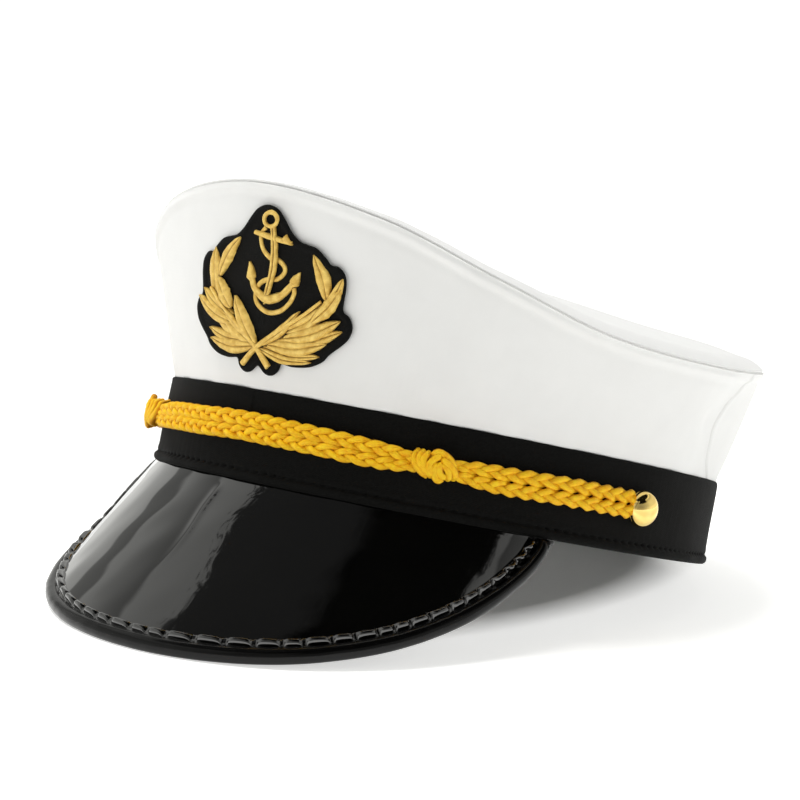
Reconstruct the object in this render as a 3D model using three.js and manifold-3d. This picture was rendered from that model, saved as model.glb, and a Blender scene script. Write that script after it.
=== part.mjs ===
// A captain's cap: a white cloth crown with a puffed top panel, a black cloth band, a glossy black visor
// with a stitched binding, a double gold braid with two knots between two gold buttons, and an embroidered
// badge with an anchor in a laurel wreath. Lengths are in millimetres and +Z is up.
// The cap is built upright round the middle of its head opening, with its front towards -Y and the
// wearer's left towards +X. It is then tipped back to the pitch at which it rests on a table, on the front
// of its visor and the back of its band. Its origin is on the table, under its middle.
// Angles round the cap start at its front and grow towards the wearer's left.
import * as THREE from 'three';
import Module from 'manifold-3d';
import { mergeVertices } from 'three/addons/utils/BufferGeometryUtils.js';

const wasm = await Module();
wasm.setup();

const { degToRad, lerp } = THREE.MathUtils;

// Clearance between pieces that touch on the real cap
const clearance = 0.3;

// Band
const bandHalfWidth = 91.1;
const bandHalfLength = 99.9;
const bandHeight = 28;
const bandWall = 2.8;
const hemFlare = 0.9;
const hemHeight = 4.2;

// Crown: its rim is where the wall meets the top panel, and heights are above the band's top edge
const crownHalfWidth = 100.8;
const crownFrontReach = 119;
const crownBackReach = 104.5;
const crownFrontHeight = 60.2;
const crownMiddleHeight = 48;
const crownWall = 2;
const crownInset = 0.8;
const topEdgeThickness = 0.7;
const topFullness = 2.6;
const seamDip = 3;
const seamDipSpread = degToRad(9);

// Visor and its binding
const visorReach = 39.2;
const visorHalfAngle = degToRad(62.1);
const visorWall = 1.8;
const visorBulge = 1.5;
const visorInset = 0.2;
const visorTaper = 1.06;
const visorDropStart = 3.5;
const visorDropEase = 0.7;
const restPitch = degToRad(12.34);
const bindingWidth = 7.4;
const bindingThickness = 4.8;
const bindingGrooveDepth = 3.2;
const bindingClearance = 0.45;

// Braid, knots and buttons
const cordDiameter = 4.2;
const cordSpacing = 4.6;
const braidHeight = 15;
const braidRise = 1.2;
const knotAngle = degToRad(37.9);
const knotLength = 13.6;
const knotHeight = 11;
const knotDepth = 7.6;
const buttonAngle = degToRad(80.3);
const buttonDiameter = 11;
const buttonHeight = 6.6;
const buttonBase = 2.2;

// Badge: its height is measured up the crown from the lowest point of its patch
const badgeHalfWidth = 30;
const badgeHeight = 50;
const badgeRaise = 3.6;
const badgeShift = 3;
const patchThickness = 1.3;
const patchBorderRise = 0.7;
const threadRise = 1.2;
const anchorThread = 1.9;
const armThread = 2.85;
const flukeBreadth = 4;
const ropeThread = 1.4;
const stemThread = 1.8;
const layerThickness = 0.08;
const threadTip = 0.07;

// How finely round forms are divided
const stationsRound = 52;
const visorStations = 36;
const cordSides = 8;
const roundSides = 16;

// Height of the crown's rim round the cap, as a share of its height at the front
const rimRise = [
  { angle: 0, share: 1 },
  { angle: 25, share: 0.905 },
  { angle: 45, share: 0.722 },
  { angle: 65, share: 0.575 },
  { angle: 90, share: 0.572 },
  { angle: 130, share: 0.672 },
  { angle: 180, share: 0.668 },
];

// Angle of each side seam of the crown, from the band up to the rim
const sideSeam = [
  { share: 0, angle: 106 },
  { share: 0.35, angle: 102 },
  { share: 0.6, angle: 101 },
  { share: 1, angle: 105.5 },
];

// Heights of the rows of the crown's wall, as shares of the way up, and rings of the top panel
const wallRows = [0, 0.14, 0.32, 0.5, 0.68, 0.85, 1];
const topRings = [0, 0.22, 0.44, 0.62, 0.77, 0.88, 0.96, 1];
const visorRows = [0, 0.3, 0.65, 1];

// Half of the patch's outline, from its peak down to its foot, as shares of half its width and its height
const patchOutline = [
  { across: 0, up: 0.995 },
  { across: 0.13, up: 0.96 },
  { across: 0.28, up: 0.87 },
  { across: 0.41, up: 0.796 },
  { across: 0.55, up: 0.79 },
  { across: 0.7, up: 0.735 },
  { across: 0.83, up: 0.72 },
  { across: 0.91, up: 0.62 },
  { across: 0.88, up: 0.465 },
  { across: 1, up: 0.38 },
  { across: 0.935, up: 0.26 },
  { across: 0.8, up: 0.2 },
  { across: 0.685, up: 0.105 },
  { across: 0.45, up: 0.07 },
  { across: 0.3, up: 0.08 },
  { across: 0.25, up: 0.015 },
  { across: 0.12, up: 0 },
  { across: 0, up: 0.04 },
];

// Leaves of one laurel spray, from the tip of the spray to its foot, with half the breadth of each leaf
const laurelLeaves = [
  { rootAcross: 0.72, rootUp: 0.5, tipAcross: 0.46, tipUp: 0.745, breadth: 0.085 },
  { rootAcross: 0.75, rootUp: 0.49, tipAcross: 0.77, tipUp: 0.665, breadth: 0.06 },
  { rootAcross: 0.34, rootUp: 0.31, tipAcross: 0.66, tipUp: 0.56, breadth: 0.08 },
  { rootAcross: 0.52, rootUp: 0.375, tipAcross: 0.84, tipUp: 0.45, breadth: 0.078 },
  { rootAcross: 0.42, rootUp: 0.33, tipAcross: 0.91, tipUp: 0.38, breadth: 0.08 },
  { rootAcross: 0.26, rootUp: 0.26, tipAcross: 0.85, tipUp: 0.275, breadth: 0.08 },
  { rootAcross: 0.15, rootUp: 0.225, tipAcross: 0.75, tipUp: 0.19, breadth: 0.075 },
  { rootAcross: 0.05, rootUp: 0.185, tipAcross: 0.64, tipUp: 0.125, breadth: 0.07 },
  { rootAcross: 0.05, rootUp: 0.195, tipAcross: 0.4, tipUp: 0.435, breadth: 0.065 },
];

// Stem of one laurel spray, from its cut end across the other stem to its tip
const laurelStem = [
  { across: -0.185, up: 0.055 },
  { across: 0, up: 0.175 },
  { across: 0.27, up: 0.27 },
  { across: 0.53, up: 0.38 },
  { across: 0.73, up: 0.52 },
];

// Parts of the anchor and its rope
const anchorRing = { up: 0.905, radius: 0.065 };
const anchorShank = [{ across: 0, up: 0.865 }, { across: 0, up: 0.47 }];
const anchorStock = [{ across: -0.23, up: 0.81 }, { across: 0.23, up: 0.805 }];
const anchorArms = [
  { across: -0.27, up: 0.575 },
  { across: -0.17, up: 0.49 },
  { across: 0, up: 0.45 },
  { across: 0.17, up: 0.49 },
  { across: 0.27, up: 0.575 },
];
const anchorFluke = [{ across: 0.225, up: 0.545 }, { across: 0.32, up: 0.645 }];
const anchorFoot = [{ across: 0, up: 0.48 }, { across: 0, up: 0.415 }];
const anchorRope = [
  { across: -0.05, up: 0.87 },
  { across: -0.14, up: 0.81 },
  { across: -0.11, up: 0.745 },
  { across: 0, up: 0.69 },
  { across: 0.14, up: 0.66 },
  { across: 0.2, up: 0.615 },
  { across: 0.12, up: 0.575 },
  { across: 0, up: 0.57 },
  { across: -0.14, up: 0.53 },
  { across: -0.21, up: 0.48 },
  { across: -0.17, up: 0.405 },
  { across: 0, up: 0.365 },
  { across: 0.17, up: 0.385 },
  { across: 0.29, up: 0.45 },
  { across: 0.32, up: 0.53 },
];

// Colours
const cloth = (color, roughness) => new THREE.MeshStandardMaterial({ color, roughness, metalness: 0 });
const whiteCloth = cloth(0xf4f4f1, 0.85);
const blackCloth = cloth(0x141414, 0.9);
const patent = new THREE.MeshStandardMaterial({ color: 0x080808, roughness: 0.12, metalness: 0 });
const goldCord = cloth(0xf0b21c, 0.6);
const goldThread = cloth(0xdcae4c, 0.55);
const goldMetal = new THREE.MeshStandardMaterial({ color: 0xe3b24a, roughness: 0.22, metalness: 1 });

// Reads a table of rows at a value between them
function tableReader(rows, key, value, slopeAtEnds) {
  const keys = rows.map((row) => row[key]);
  const values = rows.map((row) => row[value]);
  const reader = new THREE.CubicInterpolant(keys, values, 1);
  const ending = slopeAtEnds ? THREE.ZeroCurvatureEnding : THREE.ZeroSlopeEnding;
  reader.settings = { endingStart: ending, endingEnd: ending };
  return (at) => reader.evaluate(at)[0];
}

const rimShareAt = tableReader(rimRise, 'angle', 'share', false);
const seamDegreesAt = tableReader(sideSeam, 'share', 'angle', true);

// Values at even steps, with both ends
const spread = (count, from, to) => Array.from({ length: count + 1 }, (_, i) => lerp(from, to, i / count));

// Keeps only the places and the triangles of a geometry, with shared corners merged, facing outwards
function closedBody(geometry) {
  const bare = new THREE.BufferGeometry();
  bare.setAttribute('position', geometry.attributes.position);
  bare.setIndex(geometry.index);
  const merged = mergeVertices(bare, 1e-4);
  const places = merged.attributes.position;
  const corner = (index) => new THREE.Vector3().fromBufferAttribute(places, index);
  const kept = [];
  let volume = 0;
  for (let i = 0; i < merged.index.count; i += 3) {
    const [a, b, c] = [0, 1, 2].map((k) => merged.index.getX(i + k));
    if (a === b || b === c || c === a) continue;
    kept.push(a, b, c);
    volume += corner(a).dot(corner(b).cross(corner(c)));
  }
  if (volume < 0) kept.reverse();
  merged.setIndex(kept);
  return merged;
}

function toManifold(geometry) {
  const body = closedBody(geometry);
  const vertProperties = Float32Array.from(body.attributes.position.array);
  const triVerts = Uint32Array.from(body.index.array);
  return new wasm.Manifold(new wasm.Mesh({ numProp: 3, vertProperties, triVerts }));
}

function fromManifold(manifold) {
  const { vertProperties, triVerts } = manifold.getMesh();
  const geometry = new THREE.BufferGeometry();
  geometry.setAttribute('position', new THREE.BufferAttribute(Float32Array.from(vertProperties), 3));
  geometry.setIndex(Array.from(triVerts));
  return geometry;
}

function union(geometries) {
  return fromManifold(geometries.map(toManifold).reduce((joined, next) => joined.add(next)));
}

// Triangles that close an end whose profile runs out along one face of a wall and back along the other
function wallEnd(profile) {
  const last = profile.length - 1;
  return spread(last, 0, last).slice(0, (last - 1) / 2).flatMap((i) => [
    [i, i + 1, last - 1 - i],
    [i, last - 1 - i, last - i],
  ]);
}

// Triangles that close an end with any outline, given as its own flat section, counterclockwise
const flatEnd = (section) => () => (
  THREE.ShapeUtils.triangulateShape(section.map(([x, y]) => new THREE.Vector2(x, y)), []));

// Joins closed profiles, each a list of as many points, into one closed body, as a loop or with two ends
function loft(profiles, loop, closeEnd = wallEnd) {
  const sides = profiles[0].length;
  const places = profiles.flat().flatMap((point) => [point.x, point.y, point.z]);
  const triangles = [];
  const spans = loop ? profiles.length : profiles.length - 1;
  for (let i = 0; i < spans; i += 1) {
    const here = i * sides;
    const there = ((i + 1) % profiles.length) * sides;
    for (let j = 0; j < sides; j += 1) {
      const next = (j + 1) % sides;
      triangles.push(here + j, there + j, there + next);
      triangles.push(here + j, there + next, here + next);
    }
  }
  if (!loop) {
    const last = (profiles.length - 1) * sides;
    for (const [a, b, c] of closeEnd(profiles[0])) {
      triangles.push(a, b, c);
      triangles.push(last + a, last + c, last + b);
    }
  }
  const geometry = new THREE.BufferGeometry();
  geometry.setAttribute('position', new THREE.Float32BufferAttribute(places, 3));
  geometry.setIndex(triangles);
  return closedBody(geometry);
}

const allRound = spread(stationsRound, 0, 2 * Math.PI).slice(0, -1);

// A point on the band's face, moved outwards, at a height above the band's lower edge
function bandPoint(angle, outwards, height) {
  const normal = bandNormal(angle);
  const face = new THREE.Vector3(bandHalfWidth * Math.sin(angle), -bandHalfLength * Math.cos(angle), height);
  return face.addScaledVector(normal, outwards);
}

function bandNormal(angle) {
  return new THREE.Vector3(Math.sin(angle) / bandHalfWidth, -Math.cos(angle) / bandHalfLength, 0).normalize();
}

// The angle that lies a distance further along the band's face
function angleAfter(angle, distance) {
  const steps = 20;
  let reached = angle;
  for (let i = 0; i < steps; i += 1) {
    const pace = Math.hypot(bandHalfWidth * Math.cos(reached), bandHalfLength * Math.sin(reached));
    reached += distance / steps / pace;
  }
  return reached;
}

function rimReach(angle) {
  return Math.cos(angle) > 0 ? crownFrontReach : crownBackReach;
}

function rimHeight(angle) {
  const degrees = THREE.MathUtils.radToDeg(Math.acos(Math.cos(angle)));
  return crownFrontHeight * rimShareAt(degrees);
}

// A point of the crown's rim, moved inwards
function rimPoint(angle, inwards) {
  const reach = rimReach(angle);
  const point = new THREE.Vector3(crownHalfWidth * Math.sin(angle), -reach * Math.cos(angle), 0);
  const normal = new THREE.Vector3(reach * Math.sin(angle), -crownHalfWidth * Math.cos(angle), 0).normalize();
  point.addScaledVector(normal, -inwards);
  point.z = bandHeight + rimHeight(angle);
  return point;
}

// Height of the top panel's underside, at a share of the way from its middle to the rim
function topHeight(angle, share) {
  const edge = share ** topFullness;
  return bandHeight + rimHeight(angle) * edge + crownMiddleHeight * (1 - edge);
}

// A point of the crown's wall, a share of the way up from the band to the rim, moved inwards
function wallPoint(angle, share, inwards) {
  const foot = bandPoint(angle, -crownInset - inwards, bandHeight + clearance);
  const rim = rimPoint(angle, inwards);
  rim.z = topHeight(angle, 1 - inwards / rimReach(angle)) - clearance;
  const point = foot.lerp(rim, share);
  const fromSeam = Math.acos(Math.cos(angle)) - degToRad(seamDegreesAt(THREE.MathUtils.clamp(share, 0, 1)));
  const dip = seamDip * Math.sin(Math.PI * share) * Math.exp(-((fromSeam / seamDipSpread) ** 2));
  return point.addScaledVector(bandNormal(angle), -dip);
}

// The wall between the side seams, in front or behind
function crownWallPiece(behind) {
  const halfGap = clearance / 2 / bandHalfWidth;
  const span = behind ? [0, 1] : [-1, 1];
  const seamAt = (share) => degToRad(seamDegreesAt(share));
  const angleAt = (along, share) => (behind
    ? lerp(seamAt(share) + halfGap, 2 * Math.PI - seamAt(share) - halfGap, along)
    : along * (seamAt(share) - halfGap));
  const seamDegrees = sideSeam[0].angle;
  const share = (behind ? 180 - seamDegrees : seamDegrees) / 180;
  const profiles = spread(Math.round(stationsRound * share), ...span).map((along) => {
    const outer = wallRows.map((row) => wallPoint(angleAt(along, row), row, 0));
    const inner = wallRows.map((row) => wallPoint(angleAt(along, row), row, crownWall));
    return [...outer, ...inner.reverse()];
  });
  return loft(profiles, false);
}

// The puffed panel that closes the crown, thin where it is sewn to the wall
function crownTopPiece() {
  const profiles = allRound.map((angle) => {
    const place = (share, lift) => {
      const rim = rimPoint(angle, 0);
      return new THREE.Vector3(rim.x * share, rim.y * share, topHeight(angle, share) + lift);
    };
    const under = topRings.map((share) => place(share, 0));
    const over = topRings.map((share) => place(share, share < 1 ? crownWall : topEdgeThickness));
    return [...under, ...over.reverse()];
  });
  return loft(profiles, true);
}

function bandPiece() {
  const section = [
    [hemFlare, 0],
    [hemFlare, hemHeight / 2],
    [hemFlare / 5, hemHeight],
    [0, hemHeight * 1.4],
    [0, bandHeight - hemFlare],
    [-hemFlare / 2, bandHeight],
    [-bandWall, bandHeight],
    [-bandWall, 0],
  ];
  return loft(allRound.map((angle) => section.map(([out, height]) => bandPoint(angle, out, height))), true);
}

// The section of the binding round the visor's edge, counterclockwise, with its groove towards the cap
const bindingSection = (() => {
  const length = bindingWidth / 2;
  const thickness = bindingThickness / 2;
  const groove = visorWall / 2 + bindingClearance;
  const half = [
    [-length, groove],
    [-length, thickness * 0.85],
    [-length * 0.75, thickness],
    [length * 0.2, thickness],
    [length * 0.7, thickness * 0.75],
    [length * 0.95, thickness * 0.3],
  ];
  const mirrored = half.map(([out, up]) => [out, -up]).reverse();
  const floor = bindingGrooveDepth - length;
  return [...half, ...mirrored, [floor, -groove], [floor, groove]].reverse();
})();

// The table's normal, seen from the upright cap
const tableNormal = new THREE.Vector3(0, -Math.sin(restPitch), Math.cos(restPitch));
const backEdge = bandHalfLength + hemFlare;

// How far the visor's edge stays above the table so that the binding round it lies on the table
const edgeLift = (() => {
  const drop = Math.tan(restPitch) * (backEdge + bandHalfLength + visorReach);
  const slope = new THREE.Vector3(0, -visorReach, -drop).normalize();
  const face = new THREE.Vector3(0, slope.z, -slope.y);
  const depths = bindingSection.map(([out, up]) => (
    -(out - bindingWidth / 2) * slope.dot(tableNormal) - up * face.dot(tableNormal)));
  return Math.max(...depths) / tableNormal.z;
})();

// The visor's outer edge, from its right end at -1 to its left end at 1. It lies along the table in front.
function visorEdge(along) {
  const angle = visorHalfAngle * along;
  const reach = visorReach * Math.cos((Math.PI / 2) * Math.min(Math.abs(along), 1)) ** visorTaper;
  const point = bandPoint(angle, reach, 0);
  const drop = Math.max(1 - Math.abs(along) ** visorDropStart, 0) ** visorDropEase;
  point.z = (edgeLift - Math.tan(restPitch) * (backEdge - point.y)) * drop;
  return point;
}

// A point of the straight line from the band to the visor's edge
function visorPoint(along, out) {
  return bandPoint(visorHalfAngle * along, -visorInset, -clearance).lerp(visorEdge(along), out);
}

function visorNormal(along, out) {
  const step = 1e-3;
  const inside = THREE.MathUtils.clamp(along, step - 1, 1 - step);
  const aside = visorPoint(inside + step, out).sub(visorPoint(inside - step, out));
  const outwards = visorPoint(inside, out + step).sub(visorPoint(inside, out - step));
  return outwards.cross(aside).normalize();
}

// The visor's edge direction, and the way outwards across it along the visor
function edgeFrame(along) {
  const step = 1e-3;
  const inside = THREE.MathUtils.clamp(along, step - 1, 1 - step);
  const forward = visorEdge(inside + step).sub(visorEdge(inside - step)).normalize();
  const normal = visorNormal(inside, 1);
  return { outwards: forward.cross(normal).normalize(), normal };
}

// Cuts away what would reach above the underside of the band
function belowBand(geometry) {
  const size = 4 * bandHalfLength;
  const block = new THREE.BoxGeometry(size, size, size).translate(0, 0, size / 2 - clearance);
  return fromManifold(toManifold(geometry).subtract(toManifold(block)));
}

// The visor, from under the band to its tip in the groove of the binding. It ends where it gets too narrow.
function visorPiece() {
  const leastWidthShare = 0.1;
  const triedEnds = spread(200, 0.7, 1);
  const tipAt = bindingWidth - bindingGrooveDepth + bindingClearance;
  const lipAt = bindingWidth + 2 * bindingClearance;
  const inFromEdge = (along, distance) => (
    visorEdge(along).addScaledVector(edgeFrame(along).outwards, -distance));
  const reachesOut = (along) => {
    const root = visorPoint(along, 0);
    const ruling = visorEdge(along).sub(root);
    return inFromEdge(along, lipAt).sub(root).dot(ruling) > leastWidthShare * ruling.lengthSq();
  };
  const end = triedEnds.findLast(reachesOut);
  const profiles = spread(visorStations, -end, end).map((along) => {
    const root = visorPoint(along, 0);
    const lip = inFromEdge(along, lipAt);
    const side = (up) => {
      const rows = visorRows.map((row) => {
        const bulge = visorBulge * Math.sin(Math.PI * row);
        return root.clone().lerp(lip, row).addScaledVector(visorNormal(along, row), up + bulge);
      });
      return [...rows, inFromEdge(along, tipAt).addScaledVector(visorNormal(along, 1), up)];
    };
    return [...side(visorWall / 2), ...side(-visorWall / 2).reverse()];
  });
  return belowBand(loft(profiles, false));
}

function bindingPiece() {
  const alongs = spread(visorStations, -Math.PI / 2, Math.PI / 2).map((turn) => Math.sin(turn));
  const profiles = alongs.map((along) => {
    const { outwards, normal } = edgeFrame(along);
    const middle = visorEdge(along).addScaledVector(outwards, -bindingWidth / 2);
    return bindingSection.map(([out, up]) => (
      middle.clone().addScaledVector(outwards, out).addScaledVector(normal, up)));
  });
  return belowBand(loft(profiles, false, flatEnd(bindingSection)));
}

// Height of the braid's middle on the band: it rises a little in the middle of the front
function braidMiddle(angle) {
  const rise = Math.abs(angle) < knotAngle ? Math.cos((Math.PI * angle) / (2 * knotAngle)) ** 2 : 0;
  return braidHeight + braidRise * rise;
}

const onFace = clearance + cordDiameter / 2;

function cordPiece(from, to, above) {
  const count = Math.round((Math.abs(to - from) * bandHalfWidth) / (1.6 * cordDiameter));
  const points = spread(count, from, to).map((angle) => (
    bandPoint(angle, onFace, braidMiddle(angle) + (above * cordSpacing) / 2)));
  const circle = new THREE.Shape();
  circle.absarc(0, 0, cordDiameter / 2, 0, 2 * Math.PI);
  const path = new THREE.CatmullRomCurve3(points);
  return closedBody(new THREE.ExtrudeGeometry(circle, {
    extrudePath: path,
    steps: count,
    curveSegments: cordSides / 2,
    bevelEnabled: false,
  }));
}

// A knot is a short barrel with three turns of cord round it, lying along the band
function knotPiece() {
  const half = knotLength / 2;
  const waist = knotHeight / 2;
  const outline = [
    [0, -1], [0.84, -1], [0.98, -0.72], [0.92, -0.4],
    [1, 0], [0.92, 0.4], [0.98, 0.72], [0.84, 1], [0, 1],
  ];
  const profile = outline.map(([out, along]) => new THREE.Vector2(out * waist, along * half));
  const knot = new THREE.LatheGeometry(profile, roundSides);
  knot.rotateZ(Math.PI / 2);
  knot.scale(1, knotDepth / knotHeight, 1);
  return closedBody(knot);
}

// A button is a short disc with a dome on it, which faces its own -Y
function buttonPiece() {
  const radius = buttonDiameter / 2;
  const dome = spread(6, 0, Math.PI / 2).map((turn) => new THREE.Vector2(
    turn === Math.PI / 2 ? 0 : radius * Math.cos(turn),
    buttonBase + (buttonHeight - buttonBase) * Math.sin(turn),
  ));
  const foot = [[0, 0], [radius * 0.9, 0], [radius, buttonBase / 4]].map(([out, up]) => new THREE.Vector2(out, up));
  const profile = [...foot, ...dome];
  const button = new THREE.LatheGeometry(profile, roundSides);
  return closedBody(button.rotateX(Math.PI));
}

// Sets a mesh on the band's face with its own -Y towards the outside
function seatOnBand(mesh, angle, outwards, height) {
  mesh.position.copy(bandPoint(angle, outwards, height));
  const normal = bandNormal(angle);
  mesh.rotation.z = Math.atan2(normal.x, -normal.y);
  return mesh;
}

// A point of the badge, at shares of its half width and height, at a height above the crown's wall
function badgePoint(across, up, rise) {
  const height = badgeRaise + up * badgeHeight;
  const halfWidth = lerp(bandHalfWidth, crownHalfWidth, height / crownFrontHeight);
  const angle = Math.asin((badgeShift + across * badgeHalfWidth) / halfWidth);
  const share = height / rimHeight(angle);
  const step = 1e-3;
  const aside = wallPoint(angle + step, share, 0).sub(wallPoint(angle - step, share, 0));
  const upwards = wallPoint(angle, share + step, 0).sub(wallPoint(angle, share - step, 0));
  const normal = aside.cross(upwards).normalize();
  return wallPoint(angle, share, 0).addScaledVector(normal, rise);
}

function patchPiece() {
  const half = patchOutline.slice(0, -1);
  const mirrored = patchOutline.slice(1).reverse().map(({ across, up }) => ({ across: -across, up }));
  const corners = [...half, ...mirrored].map(({ across, up }) => new THREE.Vector3(across, up, 0));
  const outline = new THREE.CatmullRomCurve3(corners, true, 'catmullrom', 0.6).getPoints(1.5 * corners.length);
  const middleUp = 0.42;
  const low = clearance;
  const high = clearance + patchThickness;
  const section = [
    [0, low], [0.35, low], [0.7, low], [1, low],
    [1, high + patchBorderRise / 2], [0.965, high + patchBorderRise], [0.92, high + patchBorderRise / 2],
    [0.88, high], [0.6, high], [0.3, high], [0, high],
  ];
  const profiles = outline.slice(0, -1).map((corner) => section.map(([share, rise]) => (
    badgePoint(corner.x * share, middleUp + (corner.y - middleUp) * share, rise))));
  return loft(profiles, true);
}

const threadBase = 2 * clearance + patchThickness;

// A raised band of thread along a row of points, with its half width in millimetres at each point
function threadBand(points, halfWidths, layer, loop = false) {
  const base = threadBase + layer * layerThickness;
  const flat = points.map(({ across, up }) => new THREE.Vector2(across * badgeHalfWidth, up * badgeHeight));
  const count = flat.length;
  const profiles = flat.map((point, i) => {
    const before = loop ? flat.at(i - 1) : flat[Math.max(i - 1, 0)];
    const after = loop ? flat[(i + 1) % count] : flat[Math.min(i + 1, count - 1)];
    const direction = after.clone().sub(before).normalize();
    const half = halfWidths(i / (count - 1));
    const rise = threadRise * Math.min(1, 0.35 + (0.65 * half) / (anchorThread / 2));
    const section = [[-1, 0], [-0.6, 1], [0.6, 1], [1, 0]];
    return section.map(([side, share]) => badgePoint(
      (point.x - direction.y * side * half) / badgeHalfWidth,
      (point.y + direction.x * side * half) / badgeHeight,
      base + share * rise,
    ));
  });
  return loft(profiles, loop);
}

function smooth(points, count) {
  const corners = points.map(({ across, up }) => new THREE.Vector3(across, up, 0));
  return new THREE.CatmullRomCurve3(corners).getPoints(count).map(({ x, y }) => ({ across: x, up: y }));
}

const mirror = (points) => points.map(({ across, up }) => ({ across: -across, up }));

// How the half width of a leaf and of a fluke runs from its root to its tip, as shares of its broadest
const leafShape = tableReader([
  { at: 0, width: 0.25 },
  { at: 0.3, width: 0.95 },
  { at: 0.55, width: 1 },
  { at: 0.85, width: 0.5 },
  { at: 1, width: 0.08 },
], 'at', 'width', true);
const flukeShape = tableReader([
  { at: 0, width: 0.25 },
  { at: 0.3, width: 1 },
  { at: 1, width: 0.07 },
], 'at', 'width', true);
const thinEnds = (at, thinning) => 1 - thinning * Math.abs(2 * at - 1);

function anchorPiece() {
  const ring = spread(14, 0, 2 * Math.PI).slice(0, -1).map((turn) => ({
    across: anchorRing.radius * Math.sin(turn),
    up: anchorRing.up + (anchorRing.radius * badgeHalfWidth * Math.cos(turn)) / badgeHeight,
  }));
  const fluke = (at) => (flukeBreadth / 2) * flukeShape(at);
  return union([
    threadBand(ring, () => ropeThread / 2, 5, true),
    threadBand(smooth(anchorShank, 7), () => anchorThread / 2, 4),
    threadBand(smooth(anchorStock, 7), (at) => (anchorThread / 2) * thinEnds(at, 0.5), 3),
    threadBand(smooth(anchorArms, 12), (at) => (armThread / 2) * thinEnds(at, 0.4), 2),
    threadBand(smooth(anchorFoot, 2), (at) => lerp(armThread / 2, threadTip, at), 1),
    threadBand(smooth(anchorFluke, 4), fluke, 1),
    threadBand(smooth(mirror(anchorFluke), 4), fluke, 1),
    threadBand(smooth(anchorRope, 34), () => ropeThread / 2, 0),
  ]);
}

function laurelPiece() {
  const spray = (turned) => laurelLeaves.map((leaf, i) => {
    const line = [{ across: leaf.rootAcross, up: leaf.rootUp }, { across: leaf.tipAcross, up: leaf.tipUp }];
    const half = (at) => leaf.breadth * badgeHalfWidth * leafShape(at);
    return threadBand(smooth(turned ? mirror(line) : line, 4), half, 2 + i);
  });
  const stems = [laurelStem, mirror(laurelStem)].map((stem, i) => (
    threadBand(smooth(stem, 10), (at) => (stemThread / 2) * (1 - at / 2), i)));
  return union([...stems, ...spray(false), ...spray(true)]);
}

function namedMesh(name, geometry, material) {
  geometry.computeVertexNormals();
  const mesh = new THREE.Mesh(geometry, material);
  mesh.name = name;
  return mesh;
}

const upright = new THREE.Group();
upright.add(
  namedMesh('crown_front', crownWallPiece(false), whiteCloth),
  namedMesh('crown_back', crownWallPiece(true), whiteCloth),
  namedMesh('crown_top', crownTopPiece(), whiteCloth),
  namedMesh('band', bandPiece(), blackCloth),
  namedMesh('visor', visorPiece(), patent),
  namedMesh('visor_binding', bindingPiece(), patent),
  namedMesh('badge_patch', patchPiece(), blackCloth),
  namedMesh('badge_anchor', anchorPiece(), goldThread),
  namedMesh('badge_laurel', laurelPiece(), goldThread),
);

// The braid: two cords side by side, from knot to knot in front and from each knot to a button
const knotSide = knotLength / 2 + clearance;
const buttonSide = buttonDiameter / 2 + clearance;
for (const [row, above] of [['upper', 1], ['lower', -1]]) {
  const knotInner = angleAfter(knotAngle, -knotSide);
  const knotOuter = angleAfter(knotAngle, knotSide);
  const buttonInner = angleAfter(buttonAngle, -buttonSide);
  upright.add(
    namedMesh(`braid_${row}_front`, cordPiece(-knotInner, knotInner, above), goldCord),
    namedMesh(`braid_${row}_left`, cordPiece(knotOuter, buttonInner, above), goldCord),
    namedMesh(`braid_${row}_right`, cordPiece(-buttonInner, -knotOuter, above), goldCord),
  );
}
for (const [side, sign] of [['left', 1], ['right', -1]]) {
  const knot = namedMesh(`braid_knot_${side}`, knotPiece(), goldCord);
  const button = namedMesh(`button_${side}`, buttonPiece(), goldMetal);
  upright.add(seatOnBand(knot, sign * knotAngle, clearance + knotDepth / 2, braidHeight));
  upright.add(seatOnBand(button, sign * buttonAngle, clearance, braidHeight));
}

// Tipped back to its resting pitch, then set with its lowest point on the table and its middle on the origin
upright.rotation.x = -restPitch;
const cap = new THREE.Group();
cap.add(upright);
cap.updateMatrixWorld(true);
const box = new THREE.Box3().setFromObject(cap, true);
const middle = box.getCenter(new THREE.Vector3());
upright.position.set(-middle.x, -middle.y, -box.min.z);

export default cap;
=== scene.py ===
import math

import bmesh
import bpy
import numpy as np
from mathutils import Matrix


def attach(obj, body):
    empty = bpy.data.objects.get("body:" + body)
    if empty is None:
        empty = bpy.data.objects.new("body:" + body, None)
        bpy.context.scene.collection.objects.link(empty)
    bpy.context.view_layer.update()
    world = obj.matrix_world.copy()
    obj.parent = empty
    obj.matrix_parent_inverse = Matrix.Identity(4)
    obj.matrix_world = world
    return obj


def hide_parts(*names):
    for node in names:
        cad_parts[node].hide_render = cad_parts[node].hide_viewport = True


# Rest on the table
REST_PITCH = math.radians(12.34)
REST_Y = 15.2373
REST_Z = 21.5648

# Band
BAND_HALF_WIDTH = 91.1
BAND_HALF_LENGTH = 99.9
BAND_HEIGHT = 28.0
BAND_WALL = 2.8
HEM_FLARE = 0.95
HEM_STITCH_HEIGHT = 3.2
STITCH_PITCH = 3.3
STITCH_LENGTH = 2.2

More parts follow.
